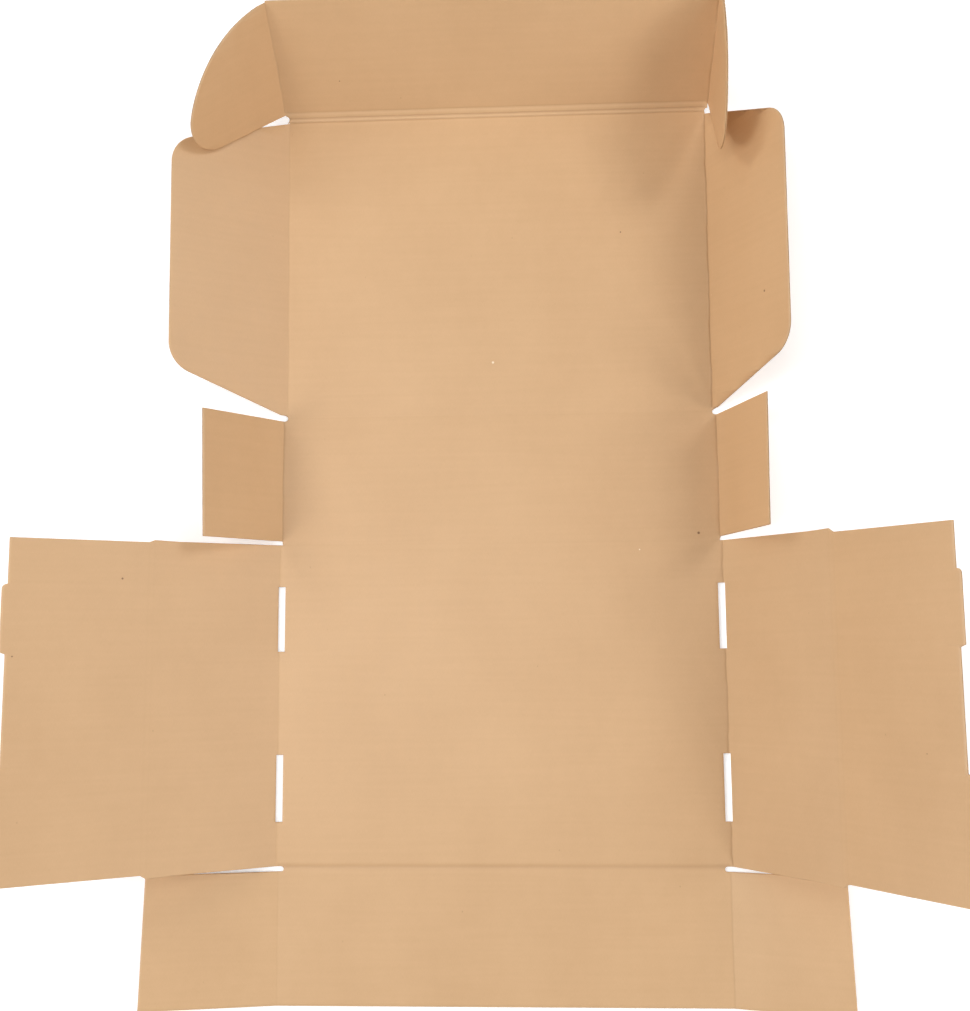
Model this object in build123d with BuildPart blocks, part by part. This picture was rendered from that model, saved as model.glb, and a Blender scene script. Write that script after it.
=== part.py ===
"""One-piece corrugated mailer blank: a base with rolled side walls, a lid and a tuck flap, opened out.

Millimetres, +Z up. The origin is the centre of the base panel's underside, the face it rests on.
+Y runs from the front wall to the lid, +X to the right-hand wall.
The sheet is drawn as a flat blank. Each panel is drawn on a plane folded about its own crease.
"""
import os
from math import cos, radians, sin, tan
from build123d import *

# Board and creases
BOARD = 1.6
CREASE_RADIUS = 1.0
CREASE_DEPTH = 0.4

# Base with its four locking slots
BASE_WIDTH = 302.0
BASE_DEPTH = 215.0
SLOT_WIDTH = 4.4
SLOT_NEAR = 34.5
SLOT_FAR = 78.7
SLOT_OVER_CREASE = 0.8

# Front wall and its two ears
WALL_HEIGHT = 89.0
EAR_CREASE_IN = 1.5
EAR_GAP = 3.4
EAR_TAPER = 1.8
LEFT_EAR = 88.9
RIGHT_EAR = 75.7
SLIT_RUN_IN = 1.5

# Side walls: outer panel, two creases to roll over, inner panel with two tabs
OUTER_PANEL = 85.0
ROLL = 3.5
INNER_PANEL = 85.3
INNER_INSET = 1.75
TAB_DEPTH = 3.3
TAB_CLEAR = 1.0
TAB_CORNER = 3.2

# Back wall and its two dust flaps
DUST_CREASE_IN = 1.3
DUST_FLAP = 66.8
DUST_FLARE = 2.7
DUST_GAP = 2.7
NOTCH_RADIUS = 2.1

# Lid and its two side flaps
LID_DEPTH = 214.5
LID_CREASE_IN = 3.7
LID_FLAP = 84.6
LID_FLAP_SLANT = 19.6
LID_FLAP_START = 0.4
LID_FLAP_STOP = 1.2
LID_FLAP_CORNER = 21.0

# Front edge of the lid, creased three times, the tuck flap and its two curved ears
LID_EDGE_STEP = 2.6
LID_FRONT_STEP = 4.2
RELIEF_RADIUS = 2.1
RELIEF_BEHIND_CREASE = 1.0
TUCK_CREASE_OUT = 2.4
TUCK_FLAP = 80.6
TUCK_EAR_ARC = 87.6
TUCK_EAR_LENGTH = 86.2
TUCK_EAR_FOOT = 2.0
TUCK_EAR_SLANT = 3.7
TUCK_EAR_HEIGHT = 79.5
TUCK_EAR_CORNER = 20.0

# Angles the panels stand up from their neighbours, in degrees, as (left, right) or one after another
EAR_RAISE = (10.5, 15.9)
OUTER_RAISE = (29.5, 49.6)
ROLL_RAISE = (0.0, 2.9)
DUST_RAISE = (53.8, 72.1)
LID_RAISE = 1.85
LID_FLAP_RAISE = (34.8, 63.3)
LID_EDGE_RAISE = (18.0, 16.0, 19.5)
TUCK_EAR_RAISE = (51.0, 90.0)

HALF_WIDTH = BASE_WIDTH / 2
FRONT_Y = -BASE_DEPTH / 2
BACK_Y = BASE_DEPTH / 2
LID_Y = BACK_Y + WALL_HEIGHT
LID_END_Y = LID_Y + LID_DEPTH
TUCK_Y = LID_END_Y + LID_EDGE_STEP + LID_FRONT_STEP
TUCK_END_Y = TUCK_Y + TUCK_FLAP
EAR_X = HALF_WIDTH - EAR_CREASE_IN
DUST_X = HALF_WIDTH - DUST_CREASE_IN
LID_X = HALF_WIDTH - LID_CREASE_IN
TUCK_X = LID_X + TUCK_CREASE_OUT
THROUGH = 20.0

groove_lines = []


def panel(sheet, *points):
    """Add one flat panel of board, its outline in blank coordinates."""
    with BuildSketch(sheet) as outline:
        with BuildLine():
            Polyline(*points, close=True)
        make_face()
    extrude(outline.sketch, amount=-BOARD)


def fold(sheet, start, end, raise_by):
    """Bend the board along a crease. The far side, left of the line from start to end, comes up."""
    along = Vector(*end) - Vector(*start)
    crease = sheet.from_local_coords(end) - sheet.from_local_coords(start)
    bend = Plane(sheet.from_local_coords(start), x_dir=-sheet.z_dir, z_dir=crease)
    if raise_by > 0:
        with BuildSketch(bend) as wedge:
            with BuildLine():
                rim = CenterArc((0, 0), BOARD, 0, raise_by)
                Line((0, 0), rim @ 0)
                Line(rim @ 1, (0, 0))
            make_face()
        extrude(wedge.sketch, amount=crease.length)
    groove_lines.append((bend, crease.length, raise_by))
    turn = Location((0, 0, 0), (along.X, along.Y, 0), raise_by)
    return Plane(sheet.location * Pos(*start) * turn * Pos(-start[0], -start[1]))


def side_crease(sheet, side, x, y_low, y_high, raise_by):
    """Fold the panel on one side up about a crease that runs front to back."""
    if side > 0:
        return fold(sheet, (x, y_high), (x, y_low), raise_by)
    return fold(sheet, (-x, y_low), (-x, y_high), raise_by)


def cross_crease(sheet, y, half_length, raise_by):
    """Fold the panel behind a crease that runs left to right."""
    return fold(sheet, (-half_length, y), (half_length, y), raise_by)


base = Plane.XY.offset(BOARD)

with BuildPart() as mailer_blank:
    panel(base, (-HALF_WIDTH, FRONT_Y), (HALF_WIDTH, FRONT_Y), (HALF_WIDTH, BACK_Y), (-HALF_WIDTH, BACK_Y))

    # Front wall, flat on the table
    front_edge = FRONT_Y - WALL_HEIGHT
    panel(base, (-EAR_X, front_edge), (EAR_X, front_edge), (EAR_X, FRONT_Y), (-EAR_X, FRONT_Y))
    cross_crease(base, FRONT_Y, HALF_WIDTH, 0)

    # Back wall, flat on the table, and the lid behind it
    panel(base, (-DUST_X, BACK_Y), (DUST_X, BACK_Y), (DUST_X, LID_Y), (-DUST_X, LID_Y))
    cross_crease(base, BACK_Y, HALF_WIDTH, 0)
    lid = cross_crease(base, LID_Y, LID_X, LID_RAISE)
    panel(lid, (-LID_X, LID_Y), (LID_X, LID_Y), (LID_X, LID_END_Y), (-LID_X, LID_END_Y))

    # Front edge of the lid, rolled up in steps to the tuck flap
    tuck = cross_crease(lid, LID_END_Y, LID_X, LID_EDGE_RAISE[0])
    step_y = LID_END_Y
    for step, raise_by in zip((LID_EDGE_STEP, LID_FRONT_STEP), LID_EDGE_RAISE[1:]):
        panel(tuck, (-TUCK_X, step_y), (TUCK_X, step_y), (TUCK_X, step_y + step), (-TUCK_X, step_y + step))
        step_y += step
        tuck = cross_crease(tuck, step_y, TUCK_X, raise_by)
    panel(tuck, (-TUCK_X, TUCK_Y), (TUCK_X, TUCK_Y), (TUCK_X, TUCK_END_Y), (-TUCK_X, TUCK_END_Y))

    for hand, side in enumerate((-1, 1)):
        # Front ear, its outer edge cut at a slight taper
        ear_top = FRONT_Y - EAR_GAP
        ear_out = EAR_X + (LEFT_EAR, RIGHT_EAR)[hand]
        ear_in = ear_out - (ear_top - front_edge) * tan(radians(EAR_TAPER))
        ear = side_crease(base, side, EAR_X, front_edge, ear_top, EAR_RAISE[hand])
        panel(
            ear,
            (side * EAR_X, front_edge),
            (side * ear_out, front_edge),
            (side * ear_in, ear_top),
            (side * EAR_X, ear_top),
        )

        # Side wall: outer panel, roll and inner panel
        roll_x = HALF_WIDTH + OUTER_PANEL
        inner_x = roll_x + ROLL
        edge_x = inner_x + INNER_PANEL
        outer = side_crease(base, side, HALF_WIDTH, FRONT_Y, BACK_Y, OUTER_RAISE[hand])
        panel(
            outer,
            (side * HALF_WIDTH, FRONT_Y),
            (side * roll_x, FRONT_Y),
            (side * roll_x, BACK_Y),
            (side * HALF_WIDTH, BACK_Y),
        )
        roll = side_crease(outer, side, roll_x, FRONT_Y, BACK_Y, ROLL_RAISE[hand])
        panel(
            roll,
            (side * roll_x, FRONT_Y),
            (side * inner_x, FRONT_Y),
            (side * inner_x, BACK_Y),
            (side * roll_x, BACK_Y),
        )
        inner = side_crease(roll, side, inner_x, FRONT_Y + INNER_INSET, BACK_Y - INNER_INSET, ROLL_RAISE[hand])
        tab_near = SLOT_NEAR + TAB_CLEAR
        tab_far = SLOT_FAR - TAB_CLEAR
        with BuildSketch(inner) as inner_outline:
            with Locations((side * (inner_x + edge_x) / 2, 0)):
                Rectangle(INNER_PANEL, BASE_DEPTH - 2 * INNER_INSET)
            for end in (-1, 1):
                with Locations((side * (edge_x + TAB_DEPTH / 2), end * (tab_near + tab_far) / 2)):
                    Rectangle(TAB_DEPTH, tab_far - tab_near)
            tab_corners = inner_outline.vertices().sort_by(Axis.X)[::side][-4:].sort_by(Axis.Y)
            fillet((tab_corners[0], tab_corners[-1]), TAB_CORNER)
        extrude(amount=-BOARD)

        # Dust flap of the back wall, flared towards the lid
        dust_low = BACK_Y + DUST_GAP
        dust_high = LID_Y - NOTCH_RADIUS
        dust_out = DUST_X + DUST_FLAP
        dust = side_crease(base, side, DUST_X, dust_low, dust_high, DUST_RAISE[hand])
        panel(
            dust,
            (side * DUST_X, dust_low),
            (side * dust_out, dust_low),
            (side * (dust_out + DUST_FLARE), dust_high),
            (side * DUST_X, dust_high),
        )

        # Lid flap, both ends slanted and both outer corners round
        flap_low = LID_Y + LID_FLAP_START
        flap_high = LID_END_Y - LID_FLAP_STOP
        flap_out = LID_X + LID_FLAP
        slant = LID_FLAP * tan(radians(LID_FLAP_SLANT))
        flap = side_crease(lid, side, LID_X, flap_low, flap_high, LID_FLAP_RAISE[hand])
        with BuildSketch(flap) as flap_outline:
            with BuildLine():
                Polyline(
                    (side * LID_X, flap_low),
                    (side * flap_out, flap_low + slant),
                    (side * flap_out, flap_high - slant),
                    (side * LID_X, flap_high),
                    close=True,
                )
            make_face()
            fillet(flap_outline.vertices().sort_by(Axis.X)[::side][-2:], LID_FLAP_CORNER)
        extrude(amount=-BOARD)

        # Curved ear of the tuck flap, a round edge from the top corner and a slanted foot
        foot_y = TUCK_Y - TUCK_EAR_FOOT
        foot_out = foot_y + TUCK_EAR_LENGTH * tan(radians(TUCK_EAR_SLANT))
        top = (side * TUCK_X, TUCK_Y + TUCK_EAR_HEIGHT)
        curl = side_crease(tuck, side, TUCK_X, foot_y, top[1], TUCK_EAR_RAISE[hand])
        with BuildSketch(curl) as curl_outline:
            with BuildLine():
                foot = Line((side * TUCK_X, foot_y), (side * (TUCK_X + TUCK_EAR_LENGTH), foot_out))
                RadiusArc(foot @ 1, top, -side * TUCK_EAR_ARC)
                Line(top, foot @ 0)
            make_face()
            fillet(curl_outline.vertices().sort_by(Axis.X)[::side][-1:], TUCK_EAR_CORNER)
        extrude(amount=-BOARD)

    # Pressed valleys along every crease, on the face that turns inwards
    for bend, length, raise_by in groove_lines:
        reach = CREASE_RADIUS - CREASE_DEPTH
        half_angle = radians(raise_by / 2)
        with BuildSketch(bend):
            with Locations((-reach * cos(half_angle), -reach * sin(half_angle))):
                Circle(CREASE_RADIUS)
        extrude(amount=length, mode=Mode.SUBTRACT)

    # Locking slots of the base, cut just over the side creases
    slot_x = HALF_WIDTH + SLOT_OVER_CREASE - SLOT_WIDTH / 2
    slot_y = (SLOT_NEAR + SLOT_FAR) / 2
    with BuildSketch(Plane.XY):
        with GridLocations(2 * slot_x, 2 * slot_y, 2, 2):
            Rectangle(SLOT_WIDTH, SLOT_FAR - SLOT_NEAR)
    extrude(amount=THROUGH, both=True, mode=Mode.SUBTRACT)

    # Round ends of the slits beside the front wall, the notches beside the lid and the lid corner reliefs
    slit_radius = EAR_GAP / 2
    slit_end = HALF_WIDTH - SLIT_RUN_IN - slit_radius
    relief_y = LID_END_Y + RELIEF_BEHIND_CREASE
    with BuildSketch(Plane.XY):
        for side in (-1, 1):
            with Locations((side * (slit_end + slit_radius), FRONT_Y - slit_radius)):
                SlotCenterToCenter(2 * slit_radius, EAR_GAP)
            with Locations((side * (LID_X + 2 * NOTCH_RADIUS), LID_Y)):
                SlotCenterToCenter(2 * NOTCH_RADIUS, 2 * NOTCH_RADIUS)
            with Locations((side * TUCK_X, relief_y)):
                Circle(RELIEF_RADIUS)
    extrude(amount=THROUGH, both=True, mode=Mode.SUBTRACT)

mailer_blank.part.label = "mailer_blank"

os.makedirs("parts", exist_ok=True)
export_step(mailer_blank.part, "parts/mailer_blank.step")
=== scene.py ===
"""Dresses the mailer blank: two kraft liners on a fluted middle sheet, creased, die-cut and opened out.

The board is laid out flat in millimetres, x to the right and y from the front wall to the lid, with its
origin at the centre of the base. One set of rows runs along the flutes. Every layer is built on rows of
that kind and then folded at the creases, so the layers stay together wherever the board bends.
"""

import math
import bpy
import numpy as np
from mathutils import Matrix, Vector


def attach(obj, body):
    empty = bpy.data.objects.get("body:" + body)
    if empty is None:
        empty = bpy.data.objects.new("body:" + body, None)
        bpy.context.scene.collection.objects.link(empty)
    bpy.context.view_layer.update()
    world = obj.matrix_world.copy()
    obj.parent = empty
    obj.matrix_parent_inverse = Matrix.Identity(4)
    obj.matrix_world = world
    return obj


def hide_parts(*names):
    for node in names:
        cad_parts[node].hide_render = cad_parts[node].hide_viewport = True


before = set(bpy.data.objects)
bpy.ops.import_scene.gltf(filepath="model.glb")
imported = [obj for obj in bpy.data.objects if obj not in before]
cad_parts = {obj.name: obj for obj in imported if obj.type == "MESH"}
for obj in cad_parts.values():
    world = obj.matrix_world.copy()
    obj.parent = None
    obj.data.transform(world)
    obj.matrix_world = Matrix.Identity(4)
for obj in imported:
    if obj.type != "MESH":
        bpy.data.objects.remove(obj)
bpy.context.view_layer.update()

MM = 0.001

# Board: E flute, the pitch and the caliper that show at its cut edges
BOARD = 1.6
LINER = 0.22
MEDIUM = 0.18
FLUTE_PITCH = 3.4
FLUTE_GAP = BOARD - 2 * LINER
# The share of that gap that the flutes fill, so that they don't come through a liner
FLUTE_FILL = 0.98
# How far the flutes show through a liner
WASHBOARD = 0.018
# Half the length of board that a fold takes up
BEND = 1.0
# A full crease: its depth, half its width, and how far it pushes the outside face out
CREASE_DEPTH, CREASE_WIDTH, CREASE_BULGE = 0.42, 0.5, 0.06
# The ridge beside a crease: its height, half its width, and its place beside a crease that runs left to right
RIDGE_HEIGHT, RIDGE_WIDTH, CROSS_RIDGE_AT = 0.05, 0.5, -1.5
# A cut edge: how far the knife has squeezed each face, what share of that is everywhere, and how uneven it is
EDGE_PINCH, EDGE_SHARE, EDGE_UNEVEN = 0.47, 0.88, 0.12

# Panels: sizes in millimetres, and the taper and the slants in degrees, apart from a tab's slant, which is
# how much wider the tab is at one side of its foot
HALF_WIDTH, HALF_DEPTH = 151.0, 107.5
SLOT_IN, SLOT_OUT, SLOT_NEAR, SLOT_FAR = 147.4, 151.8, 34.5, 78.7
WALL = 89.0
EAR_X, EAR_GAP, EAR_TAPER = 149.5, 3.4, 1.8
EARS = (88.9, 75.7)
OUTER_PANEL, ROLL, INNER_PANEL = 85.0, 3.5, 85.3
TAB_DEPTH, TAB_NEAR, TAB_FAR, TAB_CORNER, TAB_SLANT = 3.3, 35.5, 77.7, 3.2, 1.4
# How far a tab's root runs into its panel
TAB_ROOT = 1
# Each inner panel is set in a little at the front and the back, at its crease and at its outer edge
INNER_INSETS = ((1.75, 1.75, 0.95, 0.7), (1.75, 2.2, 2.0, 3.1))
# How far the ends of the roll are pushed out, and the length of outer panel that goes out with them
ROLL_BULGE, ROLL_BULGE_RUN = 0.6, 15.0
DUST_X, DUST_FLAP, DUST_FLARE, DUST_GAP, NOTCH_RADIUS = 149.7, 66.8, 2.7, 2.7, 2.1
LID_X, LID_DEPTH, LID_FLAP, LID_FLAP_SLANT = 147.3, 214.5, 84.6, 19.6
LID_FLAP_START, LID_FLAP_STOPS, LID_FLAP_CORNER = 0.4, (0.6, 1.8), 21.0
LID_EDGE_STEPS = (2.6, 4.2)
RELIEF_RADIUS, RELIEFS_BEHIND = 2.1, (2.0, 0.0)
TUCK_X, TUCK_FLAP = 149.7, 80.6
TUCK_EAR_ARC, TUCK_EAR_LENGTH, TUCK_EAR_FOOT = 87.6, 86.2, 2.0
TUCK_EAR_SLANT, TUCK_EAR_HEIGHT, TUCK_EAR_CORNER = 3.7, 79.5, 20.0

FRONT_Y, BACK_Y = -HALF_DEPTH, HALF_DEPTH
FRONT_EDGE = FRONT_Y - WALL
EAR_TOP = FRONT_Y - EAR_GAP
ROLL_X = HALF_WIDTH + OUTER_PANEL
INNER_X = ROLL_X + ROLL
SIDE_EDGE = INNER_X + INNER_PANEL
LID_Y = BACK_Y + WALL
LID_END = LID_Y + LID_DEPTH
LID_FRONT = LID_END + LID_EDGE_STEPS[0]
TUCK_Y = LID_FRONT + LID_EDGE_STEPS[1]
TUCK_END = TUCK_Y + TUCK_FLAP
# The slit between an ear and a side wall: how far inside the base's side its middle lies, the radius of
# its ends, and where its inner end has its centre
SLIT_INSIDE, SLIT_RADIUS = 1.5, EAR_GAP / 2
SLIT_END = HALF_WIDTH - SLIT_INSIDE - SLIT_RADIUS

# How far each panel stands up from its neighbour, in degrees, left and right
EAR_RAISE = (10.5, 15.9)
OUTER_RAISE = (29.5, 49.6)
ROLL_RAISE = (0.0, 2.9)
DUST_RAISE = (53.8, 72.1)
LID_RAISE = 1.85
LID_FLAP_RAISE = (34.8, 63.3)
LID_EDGE_RAISE = (18.0, 16.0, 19.5)
TUCK_EAR_RAISE = (51.0, 90.6)

# How far the outer edge of a side flap strays to the back, out of square with its crease, left and right
DUST_STRAY = (-1.1, 0.8)
LID_FLAP_STRAY = (0.5, 0.0)


# The blank's outline, laid flat

# How many points draw a curve: a slit's or a notch's round end, a relief hole, a lid flap's and a tab's
# corner, and a tuck ear's tip and large arc
ROUND_END_POINTS, RELIEF_POINTS = 25, 49
FLAP_CORNER_POINTS, TAB_CORNER_POINTS = 16, 10
EAR_TIP_POINTS, EAR_ARC_POINTS = 24, 60


def rectangle(x_low, x_high, y_low, y_high):
    return np.array([(x_low, y_low), (x_high, y_low), (x_high, y_high), (x_low, y_high)])


def arc(centre, radius, start, stop, count):
    turn = np.radians(np.linspace(start, stop, count))
    return np.column_stack((centre[0] + radius * np.cos(turn), centre[1] + radius * np.sin(turn)))


def long_hole(x, y, half, radius):
    """A hole with two round ends, half being the distance from its middle to the centre of an end."""
    right = arc((x + half, y), radius, -90, 90, ROUND_END_POINTS)
    left = arc((x - half, y), radius, 90, 270, ROUND_END_POINTS)
    return np.vstack((right, left))


def round_corner(before, corner, after, radius, count):
    """The arc that rounds a corner of an outline."""
    before, corner, after = (np.array(p, float) for p in (before, corner, after))
    u = (before - corner) / np.linalg.norm(before - corner)
    v = (after - corner) / np.linalg.norm(after - corner)
    half = math.acos(float(u @ v)) / 2
    middle = corner + (u + v) / np.linalg.norm(u + v) * radius / math.sin(half)
    first = corner + u * radius / math.tan(half) - middle
    last = corner + v * radius / math.tan(half) - middle
    start, stop = math.atan2(first[1], first[0]), math.atan2(last[1], last[0])
    stop += 2 * math.pi * round((start - stop) / (2 * math.pi))
    return arc(middle, radius, math.degrees(start), math.degrees(stop), count)


def tuck_ear_outline():
    foot_y = TUCK_Y - TUCK_EAR_FOOT
    foot = np.array((TUCK_X, foot_y))
    tip = foot + TUCK_EAR_LENGTH * np.array((1.0, math.tan(math.radians(TUCK_EAR_SLANT))))
    top = np.array((TUCK_X, TUCK_Y + TUCK_EAR_HEIGHT))
    chord = top - tip
    across = np.array((-chord[1], chord[0])) / np.linalg.norm(chord)
    middle = (tip + top) / 2 + across * math.sqrt(TUCK_EAR_ARC**2 - (chord @ chord) / 4)
    along = (tip - foot) / np.linalg.norm(tip - foot)
    inward = np.array((-along[1], along[0]))
    # The rounded tip touches the foot line and the large arc from inside
    lift = foot + TUCK_EAR_CORNER * inward - middle
    b = float(lift @ along)
    run = -b + math.sqrt(b * b - float(lift @ lift) + (TUCK_EAR_ARC - TUCK_EAR_CORNER) ** 2)
    centre = foot + TUCK_EAR_CORNER * inward + run * along
    away = centre - middle
    join = math.degrees(math.atan2(away[1], away[0]))
    end = math.degrees(math.atan2(*(top - middle)[::-1]))
    down = math.degrees(math.atan2(-inward[1], -inward[0]))
    return np.vstack((
        [foot],
        arc(centre, TUCK_EAR_CORNER, down, join, EAR_TIP_POINTS),
        arc(middle, TUCK_EAR_ARC, join, end, EAR_ARC_POINTS)[1:],
    ))


def outer_panel_outline(insets):
    """The outer side panel and its roll. The double crease has pushed the panel's ends out a little."""
    start = ROLL_X - ROLL_BULGE_RUN
    return np.array([
        (HALF_WIDTH, FRONT_Y),
        (start, FRONT_Y),
        (ROLL_X, FRONT_Y - ROLL_BULGE),
        (INNER_X, FRONT_Y + insets[0]),
        (INNER_X, BACK_Y - insets[2]),
        (ROLL_X, BACK_Y + ROLL_BULGE),
        (start, BACK_Y),
        (HALF_WIDTH, BACK_Y),
    ])


def side_shapes(ear, insets, flap_stop, relief_behind):
    """The panels to the right of the middle, and what is cut out of them."""
    ear_out = EAR_X + ear
    ear_in = ear_out - (EAR_TOP - FRONT_EDGE) * math.tan(math.radians(EAR_TAPER))
    dust_out = DUST_X + DUST_FLAP
    dust_low, dust_high = BACK_Y + DUST_GAP, LID_Y - NOTCH_RADIUS
    dust = [(DUST_X, dust_low), (dust_out, dust_low), (dust_out + DUST_FLARE, dust_high), (DUST_X, dust_high)]
    flap_low, flap_high, flap_out = LID_Y + LID_FLAP_START, LID_END - flap_stop, LID_X + LID_FLAP
    slant = LID_FLAP * math.tan(math.radians(LID_FLAP_SLANT))
    flap = [
        (LID_X, flap_low),
        (flap_out, flap_low + slant),
        (flap_out, flap_high - slant),
        (LID_X, flap_high),
    ]
    tab = [
        (SIDE_EDGE - TAB_ROOT, TAB_NEAR - TAB_SLANT * (TAB_DEPTH + TAB_ROOT) / TAB_DEPTH),
        (SIDE_EDGE + TAB_DEPTH, TAB_NEAR),
        (SIDE_EDGE + TAB_DEPTH, TAB_FAR),
        (SIDE_EDGE - TAB_ROOT, TAB_FAR),
    ]
    tab_tip = round_corner(tab[1], tab[2], tab[3], TAB_CORNER, TAB_CORNER_POINTS)
    tab = np.vstack((tab[:2], tab_tip, tab[3:]))
    shapes = [
        np.array([(EAR_X, FRONT_EDGE), (ear_out, FRONT_EDGE), (ear_in, EAR_TOP), (EAR_X, EAR_TOP)]),
        outer_panel_outline(insets),
        np.array([
            (INNER_X, FRONT_Y + insets[0]),
            (SIDE_EDGE, FRONT_Y + insets[1]),
            (SIDE_EDGE, BACK_Y - insets[3]),
            (INNER_X, BACK_Y - insets[2]),
        ]),
        tab,
        tab * (1, -1),
        np.array(dust),
        np.vstack((
            flap[:1],
            round_corner(flap[0], flap[1], flap[2], LID_FLAP_CORNER, FLAP_CORNER_POINTS),
            round_corner(flap[1], flap[2], flap[3], LID_FLAP_CORNER, FLAP_CORNER_POINTS),
            flap[3:],
        )),
        tuck_ear_outline(),
    ]
    cuts = [
        rectangle(SLOT_IN, SLOT_OUT, SLOT_NEAR, SLOT_FAR),
        rectangle(SLOT_IN, SLOT_OUT, -SLOT_FAR, -SLOT_NEAR),
        long_hole(SLIT_END + SLIT_RADIUS, FRONT_Y - SLIT_RADIUS, SLIT_RADIUS, SLIT_RADIUS),
        long_hole(LID_X + 2 * NOTCH_RADIUS, LID_Y, NOTCH_RADIUS, NOTCH_RADIUS),
        arc((TUCK_X, LID_END + relief_behind), RELIEF_RADIUS, 0, 360, RELIEF_POINTS)[:-1],
    ]
    return shapes, cuts


SHAPES = [
    rectangle(-HALF_WIDTH, HALF_WIDTH, FRONT_Y, BACK_Y),
    rectangle(-EAR_X, EAR_X, FRONT_EDGE, FRONT_Y),
    rectangle(-DUST_X, DUST_X, BACK_Y, LID_Y),
    rectangle(-LID_X, LID_X, LID_Y, LID_END),
    rectangle(-TUCK_X, TUCK_X, LID_END, TUCK_END),
]
CUTS = []
for side, *own_sizes in zip((-1, 1), EARS, INNER_INSETS, LID_FLAP_STOPS, RELIEFS_BEHIND):
    panels, holes = side_shapes(*own_sizes)
    SHAPES += [p * (side, 1) for p in panels]
    CUTS += [p * (side, 1) for p in holes]

# Creases that run front to back: distance from the middle, first and last y, depth as a share at the left and
# the right, how far the line wanders, and where the ridge beside it stands
LONG_CREASES = (
    (EAR_X, FRONT_EDGE, EAR_TOP, (0.10, 0.40), 0.20, 1.3),
    (HALF_WIDTH, FRONT_Y, BACK_Y, (0.12, 0.75), 0.40, 1.3),
    (ROLL_X, FRONT_Y, BACK_Y, (0.05, 0.05), 0.15, 1.3),
    (INNER_X, FRONT_Y, BACK_Y, (0.05, 0.05), 0.15, 1.3),
    (DUST_X, BACK_Y + DUST_GAP, LID_Y - NOTCH_RADIUS, (0.75, 1.00), 0.25, 1.3),
    (LID_X, LID_Y + NOTCH_RADIUS, LID_END - LID_FLAP_STOPS[1], (0.18, 1.00), 0.35, -1.1),
    (TUCK_X, TUCK_Y - TUCK_EAR_FOOT, TUCK_END, (0.45, 0.95), 0.40, 1.3),
)
# Creases that run left to right: y, half length, depth as a share, half width
CROSS_CREASES = (
    (FRONT_Y, HALF_WIDTH, 0.50, 1.5),
    (BACK_Y, HALF_WIDTH, 0.06, 0.6),
    (LID_Y, LID_X, 0.06, 0.6),
    (LID_END, LID_X, 0.70, 0.6),
    (LID_FRONT, TUCK_X, 0.75, 0.6),
    (TUCK_Y, TUCK_X, 0.50, 0.6),
)
# A wide crease has no ridge beside it
WIDE_CREASE = 1.0
CROSS_WANDER = 0.12
# A long crease fades out from this far before its end to this far past it, and a cross crease before its end
FADE_BEFORE, FADE_PAST, CROSS_FADE = 1.5, 0.5, 2.0

# A crease's line and a cut edge waver in waves of these lengths, shorter waves less far by this power of
# their length
WAVES = (61.0, 23.0, 9.5)
WAVE_FALL = 0.6
# Each line has a seed of its own: the step from one long crease to the next, the first cross crease, the rim
LONG_SEED_STEP, CROSS_SEED, RIM_SEED = 10, 100, 300
# The waves on a cut edge run aslant, so that an edge of any direction crosses them
RIM_SLANT = 0.9


# Rows along the flutes

# How closely a layer's points lie: the step between rows, the distances of further rows from a cross crease,
# the points across a long crease, the widest spacing in a row, and the points beside a cut edge
LINER_ROWS = (
    FLUTE_PITCH / 4,
    (0.4, 0.8, 1.3, 2.0),
    (-1.8, -1.1, -0.45, 0.0, 0.45, 1.1, 1.8),
    25.0,
    (0.7, 1.8),
)
MEDIUM_ROWS = (FLUTE_PITCH / 8, (), (-1.0, -0.35, 0.35, 1.0), 80.0, (0.7,))
# A rounded outline, which has more points than this, gets rows this far inside its two ends, and a small one
# gets them all the way across
ROUNDED, ROUND_ROWS, SMALL = 20, (0.1, 0.35), 8.0
# An outline that has no more points than this has straight sides. A row passes through each of its
# corners
STRAIGHT = 8
# A row that is nearer than this share of the step to another is left out
ROW_SHARE = 0.2
# Just above or below a row, two ends that are the same end, and the least distance between points of a row
JUST, SAME_END, CLOSEST = 1e-4, 0.15, 0.3
# Two stretches of board with no more than this between them are one
TOUCHING = 1e-6
# Points across a crease go on this far past its ends, and further on a row with corners. They are at least
# this far apart, and the evenly spaced points keep this clear of them
CREASE_REACH, CORNER_REACH, CREASE_CLOSEST, CREASE_CLEAR = EAR_GAP, EAR_GAP + 5.0, 0.2, 1.5


def crossings(outline, y):
    """Where a level line enters and leaves an outline."""
    x, level = outline[:, 0], outline[:, 1]
    x_next, level_next = np.roll(x, -1), np.roll(level, -1)
    hit = (level <= y) != (level_next <= y)
    share = (y - level[hit]) / (level_next[hit] - level[hit])
    return np.sort(x[hit] + share * (x_next[hit] - x[hit])).reshape(-1, 2)


def spans_at(y):
    """The stretches of board on a level line."""
    found = sorted(tuple(pair) for outline in SHAPES for pair in crossings(outline, y))
    spans = []
    for low, high in found:
        if spans and low <= spans[-1][1] + TOUCHING:
            spans[-1][1] = max(spans[-1][1], high)
        else:
            spans.append([low, high])
    for outline in CUTS:
        for low, high in crossings(outline, y):
            kept = []
            for a, b in spans:
                kept += [[a, min(b, low)], [max(a, high), b]] if low < b and high > a else [[a, b]]
            spans = [s for s in kept if s[1] - s[0] > JUST]
    return spans


def wander(along, seed, size):
    """How far a line strays to each side of its rule."""
    pick = np.random.default_rng(seed)
    total = np.zeros(len(along))
    for length in WAVES:
        start = pick.uniform(0, 2 * math.pi)
        total += np.sin(along * 2 * math.pi / length + start) * (length / WAVES[0]) ** WAVE_FALL
    return size * total / 2


def crease_line(index, side, y):
    """How far from the middle a long crease lies at y, with its wander."""
    crease, _, _, _, size, _ = LONG_CREASES[index]
    return crease + wander(y, LONG_SEED_STEP * index + side + 1, size)


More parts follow.
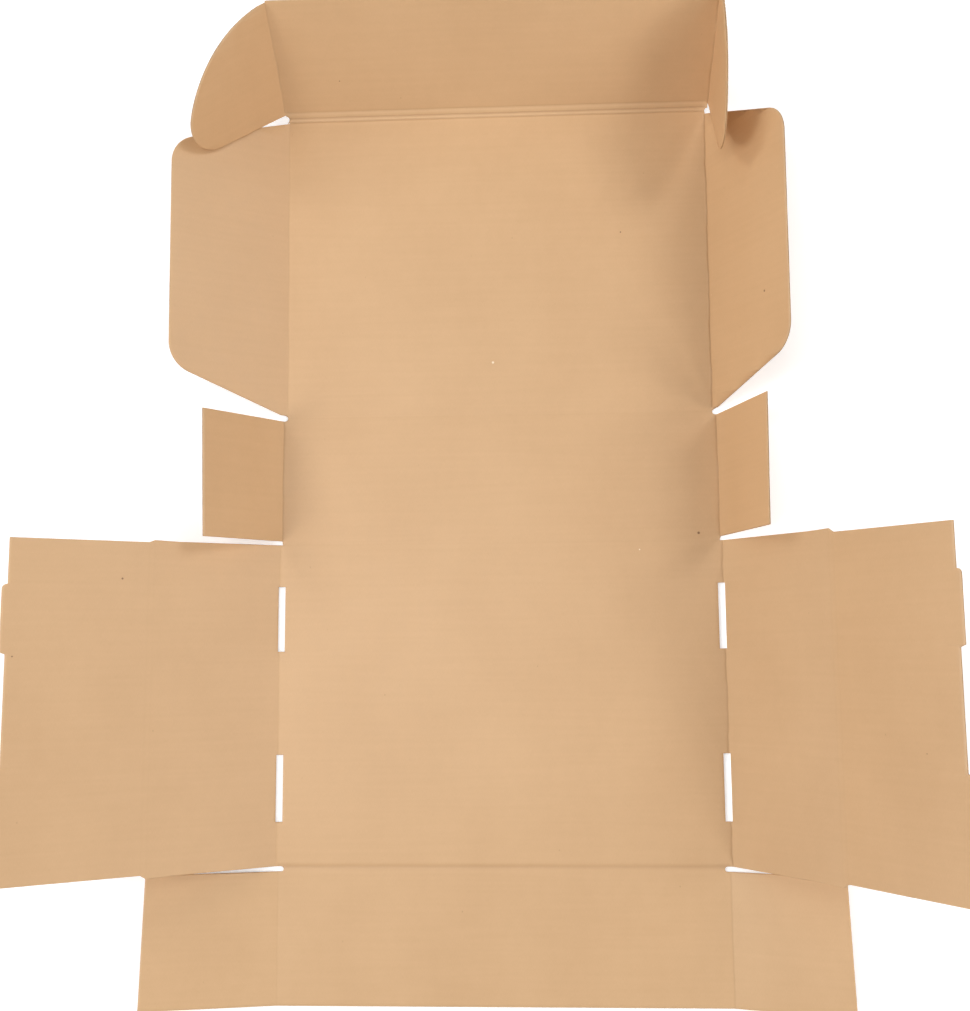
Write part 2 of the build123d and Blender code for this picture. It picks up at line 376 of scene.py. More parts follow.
def columns_at(y, offsets, spacing, reach):
    """Where a row has points: close together along the creases, and spacing apart between them."""
    near = [k for k, crease in enumerate(LONG_CREASES) if crease[1] - reach <= y <= crease[2] + reach]
    columns = set()
    for k in near:
        for side in (-1, 1):
            line = float(crease_line(k, side, np.array([y]))[0])
            columns |= {side * (line + offset) for offset in offsets}
    clear = max(offsets) + CREASE_CLEAR
    count = int(SIDE_EDGE // spacing)
    for x in (k * spacing for k in range(-count, count + 1)):
        if all(abs(abs(x) - LONG_CREASES[k][0]) > clear for k in near):
            columns.add(x)
    columns = sorted(columns)
    return [x for k, x in enumerate(columns) if k == 0 or x - columns[k - 1] > CREASE_CLOSEST]


def row_levels(step, crease_rows):
    """Where the rows lie, and which of them pass through corners of the blank."""
    corners = {EAR_TOP} | {side * y for y in (TAB_NEAR - TAB_SLANT, TAB_NEAR, TAB_FAR) for side in (-1, 1)}
    fine = set()
    for outline in SHAPES + CUTS:
        low, high = float(outline[:, 1].min()), float(outline[:, 1].max())
        corners |= {round(low, 4), round(high, 4)}
        if len(outline) > ROUNDED:
            fine |= {low + inside for inside in ROUND_ROWS} | {high - inside for inside in ROUND_ROWS}
            if high - low < SMALL:
                fine |= set(np.arange(low, high, ROUND_ROWS[1]).tolist())
    for outline in SHAPES:
        if len(outline) <= STRAIGHT:
            corners |= {round(float(y), 4) for y in outline[:, 1]}
    for y, *_ in CROSS_CREASES:
        fine |= {y + side * away for away in crease_rows for side in (-1, 1)}
    levels = set(corners)
    even = [k * step for k in range(int(FRONT_EDGE / step), int(TUCK_END / step) + 1)]
    for y in sorted(fine) + even:
        if FRONT_EDGE < y < TUCK_END and min(abs(y - other) for other in levels) > ROW_SHARE * step:
            levels.add(round(y, 4))
    return sorted(levels), corners


def board_beside(levels, corners):
    """For each row the stretches of board just below and just above it, and every place where one ends."""
    lower, upper, ends = [], [], []
    for y in levels:
        above = spans_at(y + JUST if y in corners else y)
        below = spans_at(y - JUST) if y in corners else above
        found = sorted({x for span in above for x in span})
        for span in below:
            for k in (0, 1):
                near = [x for x in found if abs(x - span[k]) < SAME_END]
                if near:
                    span[k] = min(near, key=lambda x: abs(x - span[k]))
        lower.append(below)
        upper.append(above)
        ends.append(sorted({x for span in above + below for x in span}))
    return lower, upper, ends


def stitch(a, b, points):
    """The triangles between a chain of points and the chain above it."""
    made = []
    i = j = 0
    while i < len(a) - 1 or j < len(b) - 1:
        if j == len(b) - 1 or (i < len(a) - 1 and points[a[i + 1]][0] <= points[b[j + 1]][0]):
            made.append((a[i], a[i + 1], b[j]))
            i += 1
        else:
            made.append((a[i], b[j + 1], b[j]))
            j += 1
    return made


def lay_rows(step, crease_rows, offsets, spacing, edge_columns):
    """Triangulate the flat blank on rows. Returns the points and the triangles, facing up."""
    levels, corners = row_levels(step, crease_rows)
    lower, upper, ends = board_beside(levels, corners)
    points, known, triangles, last = [], {}, [], []

    def point(row, x):
        key = (row, round(x, 3))
        if key not in known:
            known[key] = len(points)
            points.append((x, levels[row]))
        return known[key]

    def beside_ends(row):
        return [x + side * away for away in edge_columns for x in ends[row] for side in (-1, 1)]

    for row, y in enumerate(levels):
        # A row has the same points above and below it, so that no seam opens along it. Next to a corner it
        # has the corner's points too, so that the crushed rim stays as narrow there as elsewhere
        wanted = beside_ends(row)
        for other in (row - 1, row + 1):
            if 0 <= other < len(levels) and levels[other] in corners:
                wanted += ends[other] + beside_ends(other)
        wanted += columns_at(y, offsets, spacing, CORNER_REACH if y in corners else CREASE_REACH)
        kept = list(ends[row])
        for x in wanted:
            if all(abs(x - other) > CLOSEST for other in kept):
                kept.append(x)
        kept.sort()

        def chain(span):
            return [point(row, x) for x in kept if span[0] <= x <= span[1]]

        reached = [chain(span) for span in lower[row]] if last else []
        for a in last:
            for b in reached:
                if points[a[0]][0] < points[b[-1]][0] and points[b[0]][0] < points[a[-1]][0]:
                    triangles += stitch(a, b, points)
        last = [chain(span) for span in upper[row]]
    return np.array(points), np.array(triangles)


# Folding

# How far past its edge a side wall, and past its foot a tuck ear, still counts as that panel. A lid flap lies
# down again over the last stretch of its crease
WALL_SLACK, FOOT_SLACK, FLAP_RELEASE = 0.01, 0.1, 0.3
# A flat fold counts as one of this angle, in radians, so that its radius isn't endless
LEAST_TURN = 1e-6


def bend(along, height, past, crease, angle, stiff):
    """Bend the board up at a crease. past is the flat distance beyond it, and a stiff point turns sharply."""
    angle = np.maximum(np.radians(angle), LEAST_TURN)
    radius = 2 * BEND / angle
    turn = angle * (past + BEND) / (2 * BEND)
    arc_along = crease - BEND + (radius - height) * np.sin(turn)
    arc_height = radius - (radius - height) * np.cos(turn)
    run = along - crease - BEND
    far_along = crease - BEND + (radius - height) * np.sin(angle) + run * np.cos(angle)
    far_height = radius - (radius - height) * np.cos(angle) + run * np.sin(angle)
    beyond = (past > BEND) | (stiff & (past > 0))
    inside = ~beyond & (past > -BEND) & ~stiff
    along = np.where(beyond, far_along, np.where(inside, arc_along, along))
    return along, np.where(beyond, far_height, np.where(inside, arc_height, height))


def ramp(value, low, high):
    share = np.clip((value - low) / (high - low), 0, 1)
    return share * share * (3 - 2 * share)


def folded(x, y, h):
    """Where a point of the flat blank lies once folded, in metres. h is its height over the inner face."""
    hand = (x > 0).astype(int)
    out = np.abs(x)
    s, z = out.copy(), h.copy()

    def raise_of(pair):
        return np.array(pair)[hand]

    bulge = np.where(out > ROLL_X - ROLL_BULGE_RUN, ROLL_BULGE, 0.0)
    side = np.abs(y) <= BACK_Y + bulge + WALL_SLACK
    ear = (y < FRONT_Y) & ~side
    dust = (y > BACK_Y) & (y <= LID_Y) & ~side
    flap = (y > LID_Y) & (y <= LID_END)
    tuck = (y > TUCK_Y) | ((y > TUCK_Y - TUCK_EAR_FOOT - FOOT_SLACK) & (out > TUCK_X))
    dust_turn = raise_of(DUST_RAISE) * ramp(y, BACK_Y, BACK_Y + DUST_GAP)
    flap_turn = raise_of(LID_FLAP_RAISE) * ramp(y, LID_Y, LID_Y + NOTCH_RADIUS)
    flap_turn *= 1 - ramp(y, LID_END - FLAP_RELEASE, LID_END)
    long_folds = (
        (side, INNER_X, raise_of(ROLL_RAISE)),
        (side, ROLL_X, raise_of(ROLL_RAISE)),
        (side, HALF_WIDTH, raise_of(OUTER_RAISE)),
        (ear, EAR_X, raise_of(EAR_RAISE)),
        (dust, DUST_X, dust_turn),
        (flap, LID_X, flap_turn),
        (tuck, TUCK_X, raise_of(TUCK_EAR_RAISE)),
    )
    nowhere = np.zeros(len(x), bool)
    beyond = nowhere.copy()
    for region, crease, angle in long_folds:
        turned, raised = bend(s, z, out - crease, crease, angle, nowhere)
        s, z = np.where(region, turned, s), np.where(region, raised, z)
        beyond |= region & (out > crease + BEND)
    along = y + dust * raise_of(DUST_STRAY) * np.clip((out - DUST_X) / DUST_FLAP, 0, 1)
    along += flap * raise_of(LID_FLAP_STRAY) * np.clip((out - LID_X) / LID_FLAP, 0, 1)
    reached = np.where(tuck & beyond, TUCK_END, y)
    cross_folds = zip((TUCK_Y, LID_FRONT, LID_END, LID_Y), (*LID_EDGE_RAISE[::-1], LID_RAISE))
    for crease, angle in cross_folds:
        along, z = bend(along, z, reached - crease, crease, np.full(len(x), angle), beyond)
    return np.column_stack((np.where(x > 0, s, -s), along, z + BOARD)) * MM


# Relief of the pressed board


def valleys(x, y):
    """How deep the inner face is pressed, up to 1 at the bottom of a full crease, and the ridge beside it."""
    depth, ridge = np.zeros(len(x)), np.zeros(len(x))
    for index, (_, low, high, shares, _, ridge_at) in enumerate(LONG_CREASES):
        ends = ramp(y, low - FADE_PAST, low + FADE_BEFORE)
        ends = ends * (1 - ramp(y, high - FADE_BEFORE, high + FADE_PAST))
        for side, share in zip((-1, 1), shares):
            past = side * x - crease_line(index, side, y)
            fade = ends * (side * x > 0)
            depth = np.maximum(depth, share * fade * np.exp(-((past / CREASE_WIDTH) ** 2)))
            ridge = np.maximum(ridge, share * fade * np.exp(-(((past - ridge_at) / RIDGE_WIDTH) ** 2)))
    for index, (crease, half, share, width) in enumerate(CROSS_CREASES):
        past = y - crease - wander(x, CROSS_SEED + index, CROSS_WANDER)
        fade = 1 - ramp(np.abs(x), half - CROSS_FADE, half)
        depth = np.maximum(depth, share * fade * np.exp(-((past / width) ** 2)))
        if width < WIDE_CREASE:
            ridge = np.maximum(ridge, share * fade * np.exp(-(((past - CROSS_RIDGE_AT) / RIDGE_WIDTH) ** 2)))
    return depth, ridge


def inner_face(x, y, edge):
    depth, ridge = valleys(x, y)
    flutes = WASHBOARD * (1 - np.cos(2 * math.pi * y / FLUTE_PITCH)) / 2
    return -CREASE_DEPTH * depth + RIDGE_HEIGHT * ridge - flutes * (1 - depth) - EDGE_PINCH * edge


def outer_face(x, y, edge):
    depth, _ = valleys(x, y)
    flutes = WASHBOARD * (1 + np.cos(2 * math.pi * y / FLUTE_PITCH)) / 2
    return -BOARD + CREASE_BULGE * depth + flutes * (1 - depth) + EDGE_PINCH * edge


# Meshes

# Edges that turn by more than this stay sharp, in degrees
SHARP_TURN = 40


def cut_edges(triangles):
    """The directed edges that only one triangle has, which are the blank's cut edges."""
    edges = np.vstack((triangles[:, [0, 1]], triangles[:, [1, 2]], triangles[:, [2, 0]]))
    keys = np.sort(edges, axis=1)
    _, first, count = np.unique(keys, axis=0, return_index=True, return_counts=True)
    return edges[first[count == 1]]


def crushed_rim(points, triangles):
    """How far the board is crushed at each point, which is along its cut edges only and a little uneven."""
    edge = np.zeros(len(points))
    at = np.unique(cut_edges(triangles))
    edge[at] = EDGE_SHARE + wander(points[at, 0] * RIM_SLANT + points[at, 1], RIM_SEED, EDGE_UNEVEN)
    return edge


def new_piece(name, coordinates, faces, flat, material):
    """A piece that knows each point's place on the flat blank, and how pressed it is, for its material."""
    mesh = bpy.data.meshes.new(name)
    mesh.from_pydata(coordinates.tolist(), [], faces)
    mesh.validate()
    laid_out = np.column_stack((flat * MM, np.zeros(len(flat))))
    place = mesh.attributes.new("blank", "FLOAT_VECTOR", "POINT")
    place.data.foreach_set("vector", laid_out.astype(np.float32).ravel())
    depth, ridge = valleys(flat[:, 0], flat[:, 1])
    for label, values in (("pressed", depth), ("ridge", ridge)):
        spot = mesh.attributes.new(label, "FLOAT", "POINT")
        spot.data.foreach_set("value", values.astype(np.float32))
    mesh.shade_smooth()
    mesh.set_sharp_from_angle(angle=math.radians(SHARP_TURN))
    mesh.materials.append(material)
    piece = bpy.data.objects.new(name, mesh)
    bpy.context.scene.collection.objects.link(piece)
    return piece


def liner(name, points, triangles, upper, lower, material):
    """A paper liner: closed, with an upper and a lower face and its cut edge."""
    x, y = points[:, 0], points[:, 1]
    edge = crushed_rim(points, triangles)
    rim = cut_edges(triangles)
    count = len(points)
    top = folded(x, y, upper(x, y, edge))
    bottom = folded(x, y, lower(x, y, edge))
    faces = triangles.tolist() + (triangles[:, ::-1] + count).tolist()
    faces += [(b, a, a + count, b + count) for a, b in rim.tolist()]
    return new_piece(name, np.vstack((top, bottom)), faces, np.vstack((points, points)), material)


# Materials

# Patterns in the paper: how wide across the web and how long along it a mark is, in millimetres, the noise's
# detail and roughness, how far it swings to each side of its middle, and how far that moves the tone. A real
# fibre is about 0.03 mm wide, too fine to show, so the fibres are drawn coarser
PATTERNS = {
    "fibres": (0.22, 2.6, 2.0, 0.6, 0.3, 0.12),
    "clouds": (7.0, 12.0, 2.0, 0.5, 0.2, 0.03),
    "drift": (60.0, 90.0, 1.0, 0.5, 0.2, 0.07),
    "flute_lines": (70.0, FLUTE_PITCH, 1.0, 0.5, 0.2, 0.03),
    "felt": (0.5, 0.7, 1.0, 0.5, 0.2, 0.0),
}
# Scattered marks: the cell that holds one at most, how much longer than wide a mark is, its radius, how often
# a cell has one, how strongly it shows, and its colour
SHIVES = (13.0, 1.6, 0.55, 0.55, 0.30, "#80552C")
KNOTS = (24.0, 1.0, 0.5, 0.35, 0.45, "#F2D9B4")
# How far the knots' cells are shifted from the shives' cells, in metres
KNOT_SHIFT = 0.4
# Where a mark starts to fade, as a share of its radius
MARK_CORE, SPECK_CORE = 0.4, 0.5
# The pressed crease and the ridge beside it: how strongly they show, and their colours. The crease's dark
# colour is painted shade in its valley, partly also the darker crushed paper, and the ridge's pale colour is
# a painted highlight along it, partly also scuffed paper
CREASE_SHADE_TINT, RIDGE_HIGHLIGHT_TINT = (0.38, "#8A5A2E"), (0.16, "#F0D2A8")
# Specks of bark and of bleached fibre on the inside face: place on the flat board, radius, colour
BARK, BLEACHED, SPECK_STRENGTH = "#6B4526", "#F6E6CC", 0.85
SPECKS = (
    (135.5, 112.6, 1.1, BARK),
    (-256.0, 82.3, 0.8, BARK),
    (87.0, 324.7, 0.6, BARK),
    (207.8, 265.4, 0.9, BARK),
    (-320.5, 32.8, 0.6, BARK),
    (-107.8, 440.7, 0.5, BARK),
    (299.7, -25.1, 0.4, BARK),
    (-3.3, 233.6, 1.0, BLEACHED),
    (95.3, 101.7, 0.6, BLEACHED),
)
# Paper: index of refraction, how far its roughness varies, and the height and strength of its felt
PAPER_IOR, ROUGHNESS_SWING, FELT_HEIGHT, FELT_STRENGTH = 1.55, 0.03, 0.03, 0.5
# The three papers: darkest and lightest tone, roughness, and how far its patterns are shifted, in metres
INSIDE_PAPER = (("#C1996E", "#DEB78B"), 0.5, 0.0)
OUTSIDE_PAPER = (("#BD9366", "#DAB083"), 0.5, 0.7)
FLUTING_PAPER = (("#BE976B", "#D6B083"), 0.7, 1.3)
# A Map Range node's inputs 0 to 4 are the value, the range it comes from and the range it is taken to. A
# colour Mix node has its two colours at these inputs, and the mixed colour at this output
MIX_FROM, MIX_TO, MIXED = 6, 7, 2
# The middle of a noise, and of the tones
MIDDLE = 0.5


def linear(hex_colour):
    """An sRGB hex colour as the linear values that Blender's sockets take."""
    parts = [int(hex_colour[k : k + 2], 16) / 255 for k in (1, 3, 5)]
    return [p / 12.92 if p <= 0.04045 else ((p + 0.055) / 1.055) ** 2.4 for p in parts] + [1.0]


def node(tree, kind, inputs=None, **settings):
    """Add a node with its settings. Each input gets a value, or the socket that is to be linked to it."""
    made = tree.nodes.new(kind)
    for key, value in settings.items():
        setattr(made, key, value)
    for key, value in (inputs or {}).items():
        if isinstance(value, bpy.types.NodeSocket):
            tree.links.new(value, made.inputs[key])
        else:
            made.inputs[key].default_value = value
    return made


def on_web(tree, flat, width, length, shift):
    """The flat board's own coordinates, counted in marks of this width and length that run along the web."""
    moved = node(tree, "ShaderNodeVectorMath", {0: flat, 1: (shift, shift, 0)}, operation="ADD").outputs[0]
    count = (1 / (width * MM), 1 / (length * MM), 1)
    return node(tree, "ShaderNodeVectorMath", {0: moved, 1: count}, operation="MULTIPLY").outputs[0]


def scattered(tree, flat, cell, stretch, radius, chance, shift):
    """Where scattered marks are: 1 in the middle of a mark and 0 between them."""
    place = on_web(tree, flat, cell, cell * stretch, shift)
    cells = node(tree, "ShaderNodeTexVoronoi", {"Vector": place, "Scale": 1.0, "Randomness": 1.0})
    pick = node(tree, "ShaderNodeSeparateColor", {"Color": cells.outputs["Color"]}).outputs["Red"]
    chosen = node(tree, "ShaderNodeMapRange", {0: pick, 1: 1 - chance, 2: 1.0, 3: 0.0, 4: 1.0}).outputs[0]
    size = radius / cell
    away = cells.outputs["Distance"]
    inputs = {0: away, 1: size * MARK_CORE, 2: size, 3: 1.0, 4: 0.0}
    near = node(tree, "ShaderNodeMapRange", inputs).outputs[0]
    return node(tree, "ShaderNodeMath", {0: near, 1: chosen}, operation="MULTIPLY").outputs[0]


def kraft(name, tones, rough, shift, specks=()):
    """Unbleached kraft paper off the machine. Matt with a faint sheen, long fibres along the web, soft cloudy
    formation, a few dark shives and pale fibre knots, and faint lines across the web where the flutes show
    through. Along a pressed crease it has painted shade, partly also the darker crushed paper, and beside it
    a painted highlight on the ridge, partly also scuffed paper. specks are single marks, each at its own
    place."""
    material = bpy.data.materials.new(name)
    material.use_nodes = True
    tree = material.node_tree
    tree.nodes.clear()
    flat = node(tree, "ShaderNodeAttribute", attribute_name="blank").outputs["Vector"]
    pressed = node(tree, "ShaderNodeAttribute", attribute_name="pressed").outputs["Fac"]
    ridge = node(tree, "ShaderNodeAttribute", attribute_name="ridge").outputs["Fac"]

    tone, patterns = MIDDLE, {}
    for label, (width, length, detail, roughness, swing, strength) in PATTERNS.items():
        place = on_web(tree, flat, width, length, shift)
        inputs = {"Vector": place, "Scale": 1.0, "Detail": detail, "Roughness": roughness}
        patterns[label] = node(tree, "ShaderNodeTexNoise", inputs).outputs["Fac"]
        if strength:
            inputs = {0: patterns[label], 1: MIDDLE - swing, 2: MIDDLE + swing, 3: -strength, 4: strength}
            change = node(tree, "ShaderNodeMapRange", inputs).outputs[0]
            tone = node(tree, "ShaderNodeMath", {0: tone, 1: change}, operation="ADD").outputs[0]

    inputs = {0: tone, MIX_FROM: linear(tones[0]), MIX_TO: linear(tones[1])}
    colour = node(tree, "ShaderNodeMix", inputs, data_type="RGBA").outputs[MIXED]
    tints = [(scattered(tree, flat, *SHIVES[:4], shift), *SHIVES[4:])]
    tints += [(scattered(tree, flat, *KNOTS[:4], shift + KNOT_SHIFT), *KNOTS[4:])]
    # Painted shade along the pressed creases, partly also darker crushed paper, and a painted highlight on
    # the ridges beside them, partly also scuffed paper
    tints += [(pressed, *CREASE_SHADE_TINT), (ridge, *RIDGE_HIGHLIGHT_TINT)]
    for x, y, radius, speck_colour in specks:
        inputs = {0: flat, 1: (x * MM, y * MM, 0)}
        away = node(tree, "ShaderNodeVectorMath", inputs, operation="DISTANCE").outputs["Value"]
        inputs = {0: away, 1: radius * SPECK_CORE * MM, 2: radius * MM, 3: 1.0, 4: 0.0}
        tints.append((node(tree, "ShaderNodeMapRange", inputs).outputs[0], SPECK_STRENGTH, speck_colour))
    for where, strength, tint in tints:
        share = node(tree, "ShaderNodeMath", {0: where, 1: strength}, operation="MULTIPLY").outputs[0]
        inputs = {0: share, MIX_FROM: colour, MIX_TO: linear(tint)}
        colour = node(tree, "ShaderNodeMix", inputs, data_type="RGBA").outputs[MIXED]

    swing = PATTERNS["clouds"][4]
    inputs = {0: patterns["clouds"], 1: MIDDLE - swing, 2: MIDDLE + swing}
    inputs |= {3: rough - ROUGHNESS_SWING, 4: rough + ROUGHNESS_SWING}
    sheen = node(tree, "ShaderNodeMapRange", inputs).outputs[0]
    inputs = {0: patterns["fibres"], 1: patterns["felt"]}
    relief = node(tree, "ShaderNodeMath", inputs, operation="ADD").outputs[0]
    inputs = {"Strength": FELT_STRENGTH, "Distance": FELT_HEIGHT * MM, "Height": relief}
    bump = node(tree, "ShaderNodeBump", inputs).outputs[0]
    inputs = {"Base Color": colour, "Roughness": sheen, "Normal": bump, "IOR": PAPER_IOR, "Metallic": 0.0}
    shader = node(tree, "ShaderNodeBsdfPrincipled", inputs).outputs[0]
    node(tree, "ShaderNodeOutputMaterial", {"Surface": shader})
    return material


inside_kraft = kraft("kraft_liner_inside", *INSIDE_PAPER, SPECKS)
outside_kraft = kraft("kraft_liner_outside", *OUTSIDE_PAPER)
fluting = kraft("fluting_paper", *FLUTING_PAPER)

# The two liners

liner_points, liner_triangles = lay_rows(*LINER_ROWS)
print("liner rows:", len(liner_points), "points,", len(liner_triangles), "triangles")

inside_liner = liner(
    "inside_liner",
    liner_points,
    liner_triangles,
    inner_face,
    lambda x, y, edge: inner_face(x, y, edge) - LINER,
    inside_kraft,
)
outside_liner = liner(
    "outside_liner",
    liner_points,
    liner_triangles,
    lambda x, y, edge: outer_face(x, y, edge) + LINER,
    outer_face,
    outside_kraft,
)


# The fluted middle sheet

# Points of the waved sheet with less than this between them become one, in millimetres
MERGE = 0.001


def fluting_tree():
    """Wave a flat sheet into flutes and give it the thickness of its paper."""
    tree = bpy.data.node_groups.new("fluting", "GeometryNodeTree")
    face = tree.interface
    face.new_socket("Geometry", in_out="INPUT", socket_type="NodeSocketGeometry")
    for label, value in (("Pitch", FLUTE_PITCH), ("Height", FLUTE_GAP), ("Paper", MEDIUM)):
        face.new_socket(label, in_out="INPUT", socket_type="NodeSocketFloat").default_value = value
    face.new_socket("Finish", in_out="INPUT", socket_type="NodeSocketMaterial")
    face.new_socket("Geometry", in_out="OUTPUT", socket_type="NodeSocketGeometry")
    given = node(tree, "NodeGroupInput").outputs
    position = node(tree, "GeometryNodeInputPosition").outputs[0]
    across = node(tree, "ShaderNodeSeparateXYZ", {"Vector": position}).outputs["Y"]
    turns = node(tree, "ShaderNodeMath", {0: across, 1: given["Pitch"]}, operation="DIVIDE").outputs[0]
    angle = node(tree, "ShaderNodeMath", {0: turns, 1: 2 * math.pi}, operation="MULTIPLY").outputs[0]
    wave = node(tree, "ShaderNodeMath", {0: angle}, operation="COSINE").outputs[0]
    inputs = {0: given["Height"], 1: given["Paper"]}
    room = node(tree, "ShaderNodeMath", inputs, operation="SUBTRACT").outputs[0]
    half = node(tree, "ShaderNodeMath", {0: room, 1: 0.5}, operation="MULTIPLY").outputs[0]
    rise = node(tree, "ShaderNodeMath", {0: wave, 1: half}, operation="MULTIPLY").outputs[0]
    lift = node(tree, "ShaderNodeCombineXYZ", {"Z": rise}).outputs[0]
    waved = node(tree, "GeometryNodeSetPosition", {"Geometry": given["Geometry"], "Offset": lift}).outputs[0]
    inputs = {"Mesh": waved, "Offset Scale": given["Paper"], "Individual": False}
    grown = node(tree, "GeometryNodeExtrudeMesh", inputs).outputs["Mesh"]
    turned = node(tree, "GeometryNodeFlipFaces", {"Mesh": waved}).outputs[0]
    joined = node(tree, "GeometryNodeJoinGeometry")
    for half_sheet in (turned, grown):
        tree.links.new(half_sheet, joined.inputs[0])
    inputs = {"Geometry": joined.outputs[0], "Distance": MERGE}
    merged = node(tree, "GeometryNodeMergeByDistance", inputs).outputs[0]
    real = node(tree, "GeometryNodeRealizeInstances", {"Geometry": merged}).outputs[0]
    done = node(tree, "GeometryNodeSetMaterial", {"Geometry": real, "Material": given["Finish"]}).outputs[0]
    node(tree, "NodeGroupOutput", {"Geometry": done})
    return tree


def waved_mesh(points, triangles, rim, tree, finish):
    """Run the fluting nodes on the flat sheet and take their result as a plain mesh."""
    flat = bpy.data.meshes.new("flat_medium")
    flat.from_pydata(np.column_stack((points, np.zeros(len(points)))).tolist(), [], triangles.tolist())
    flat.attributes.new("rim", "FLOAT", "POINT").data.foreach_set("value", rim.astype(np.float32))
    holder = bpy.data.objects.new("flat_medium", flat)
    bpy.context.scene.collection.objects.link(holder)
    modifier = holder.modifiers.new("fluting", "NODES")
    modifier.node_group = tree
    sockets = {s.name: s.identifier for s in tree.interface.items_tree if s.in_out == "INPUT"}
    values = {"Pitch": FLUTE_PITCH, "Height": FLUTE_GAP, "Paper": MEDIUM, "Finish": finish}
    for label, value in values.items():
        modifier[sockets[label]] = value
    graph = bpy.context.evaluated_depsgraph_get()
    mesh = bpy.data.meshes.new_from_object(holder.evaluated_get(graph))
    bpy.data.objects.remove(holder)
    return mesh


def fluted_sheet(name, finish):
    """The middle sheet, waved while flat, then fitted between the liners and folded with them."""
    points, triangles = lay_rows(*MEDIUM_ROWS)
    waved = waved_mesh(points, triangles, crushed_rim(points, triangles), fluting_tree(), finish)
    place = np.zeros(len(waved.vertices) * 3, np.float32)
    waved.vertices.foreach_get("co", place)
    place = place.reshape(-1, 3).astype(float)
    rim = np.zeros(len(place), np.float32)
    waved.attributes["rim"].data.foreach_get("value", rim)
    flat = place[:, :2]
    x, y = flat[:, 0], flat[:, 1]
    ceiling = inner_face(x, y, rim) - LINER
    ground = outer_face(x, y, rim) + LINER
    share = (place[:, 2] - MEDIUM / 2) / FLUTE_GAP
    heights = (ceiling + ground) / 2 + share * (ceiling - ground) * FLUTE_FILL
    faces = [tuple(p.vertices) for p in waved.polygons]
    return new_piece(name, folded(x, y, heights), faces, flat, finish)


medium = fluted_sheet("fluted_medium", fluting)
print("medium:", len(medium.data.vertices), "points,", len(medium.data.polygons), "faces")

for piece in (inside_liner, outside_liner, medium):
    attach(piece, "root")
    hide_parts("mailer_blank")

# Floor, light and camera

# Half the floor's width and how far it lies under the board, in metres
FLOOR_HALF, FLOOR_DROP = 6, 0.0002
FLOOR_COLOUR = "#F2F2F2"
# How strongly the camera sees the floor glow near the board, where the shadow falls, and from where to where,
# in metres from the middle, it then rises to white
NEAR_GLOW, GLOW_FROM, GLOW_TO = 0.33, 0.9, 2.6

floor_shape = rectangle(-FLOOR_HALF, FLOOR_HALF, -FLOOR_HALF, FLOOR_HALF)
floor_mesh = bpy.data.meshes.new("floor")
floor_mesh.from_pydata([(x, y, -FLOOR_DROP) for x, y in floor_shape], [], [(0, 1, 2, 3)])
floor = bpy.data.objects.new("floor", floor_mesh)
bpy.context.scene.collection.objects.link(floor)
white = bpy.data.materials.new("white_paper_floor")
white.use_nodes = True
tree = white.node_tree
tree.nodes.clear()
paper = node(tree, "ShaderNodeBsdfDiffuse", {"Color": linear(FLOOR_COLOUR)}).outputs[0]
place = node(tree, "ShaderNodeTexCoord").outputs["Object"]
away = node(tree, "ShaderNodeVectorMath", {0: place}, operation="LENGTH").outputs["Value"]
inputs = {0: away, 1: GLOW_FROM, 2: GLOW_TO, 3: NEAR_GLOW, 4: 1.0}
rising = node(tree, "ShaderNodeMapRange", inputs).outputs[0]
by_camera = node(tree, "ShaderNodeLightPath").outputs["Is Camera Ray"]
seen = node(tree, "ShaderNodeMath", {0: rising, 1: by_camera}, operation="MULTIPLY").outputs[0]
glow = node(tree, "ShaderNodeEmission", {"Color": (1, 1, 1, 1), "Strength": seen}).outputs[0]
both = node(tree, "ShaderNodeAddShader", {0: paper, 1: glow}).outputs[0]
node(tree, "ShaderNodeOutputMaterial", {"Surface": both})
floor_mesh.materials.append(white)

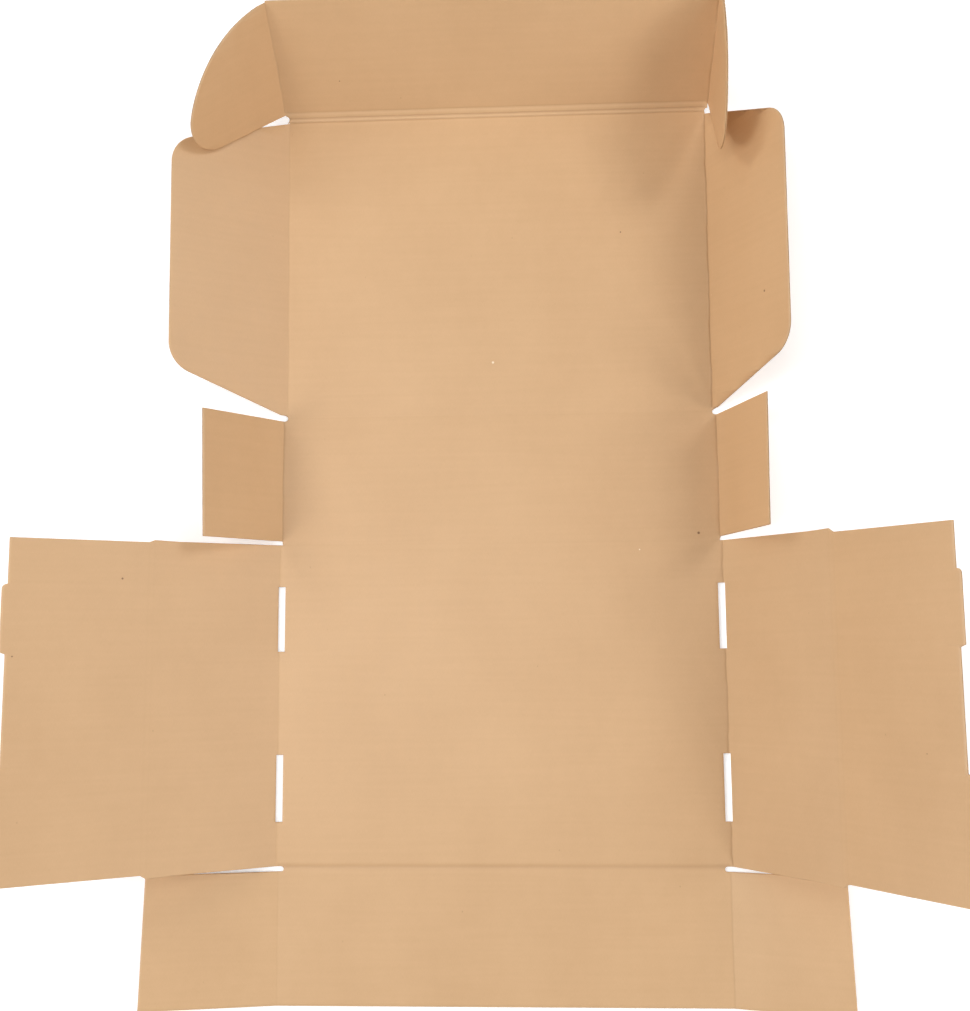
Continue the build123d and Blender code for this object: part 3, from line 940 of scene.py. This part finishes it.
# A plain bright room: light from all round that is strongest near the horizon, seen as white by the camera
HORIZON_LIGHT = 0.676
world = bpy.data.worlds.new("studio")
bpy.context.scene.world = world
world.use_nodes = True
tree = world.node_tree
tree.nodes.clear()
around = node(tree, "ShaderNodeTexCoord").outputs["Generated"]
height = node(tree, "ShaderNodeSeparateXYZ", {0: around}).outputs["Z"]
lit = node(tree, "ShaderNodeMapRange", {0: height, 1: 0.0, 2: 1.0, 3: HORIZON_LIGHT, 4: 0.0}).outputs[0]
by_camera = node(tree, "ShaderNodeLightPath").outputs["Is Camera Ray"]
strength = node(tree, "ShaderNodeMix", {0: by_camera, 2: lit, 3: 1.0}, data_type="FLOAT").outputs[0]
room = node(tree, "ShaderNodeBackground", {"Color": (1, 1, 1, 1), "Strength": strength}).outputs[0]
node(tree, "ShaderNodeOutputWorld", {"Surface": room})

# Softboxes round a point of the table: how far back that point lies, how far off they stand, where they
# aim, and how wide they are, all in metres
TABLE_MIDDLE, LAMP_REACH = 0.1, 2.0
LAMP_AIM, LAMP_WIDTH = Vector((0, 0.13, 0)), 0.5
# Each one's direction, in degrees from the right, its rise, in degrees, and its watts
LAMPS = (
    (0, 35, 5.1),
    (30, 45, 8.0),
    (120, 45, 2.4),
    (150, 35, 6.3),
    (195, 40, 11.7),
    (315, 27, 6.4),
    (330, 40, 2.1),
    (180, 63, 2.7),
    (180, 82, 8.2),
)
for direction, rise, power in LAMPS:
    turn, lift = math.radians(direction), math.radians(rise)
    x, y = LAMP_REACH * math.cos(lift) * math.cos(turn), LAMP_REACH * math.cos(lift) * math.sin(turn)
    place = Vector((x, TABLE_MIDDLE + y, LAMP_REACH * math.sin(lift)))
    softbox = bpy.data.lights.new(f"softbox_{direction}_{rise}", "AREA")
    softbox.shape = "SQUARE"
    softbox.size = LAMP_WIDTH
    softbox.energy = power
    lamp = bpy.data.objects.new(softbox.name, softbox)
    lamp.location = place
    lamp.rotation_euler = (LAMP_AIM - place).to_track_quat("-Z", "Y").to_euler()
    bpy.context.scene.collection.objects.link(lamp)

# The camera of the photograph: sensor width and lens in millimetres, place in metres, turn in degrees
SENSOR, LENS = 36.0, 42.939
CAMERA_PLACE = (0.027028, 0.033670, 0.790038)
CAMERA_TURN = (7.1725, 2.7215, -0.4337)
camera_data = bpy.data.cameras.new("camera")
camera_data.sensor_fit = "HORIZONTAL"
camera_data.sensor_width = SENSOR
camera_data.lens = LENS
camera = bpy.data.objects.new("camera", camera_data)
camera.location = CAMERA_PLACE
camera.rotation_euler = [math.radians(a) for a in CAMERA_TURN]
bpy.context.scene.collection.objects.link(camera)
bpy.context.scene.camera = camera
bpy.context.scene.view_settings.view_transform = "Standard"
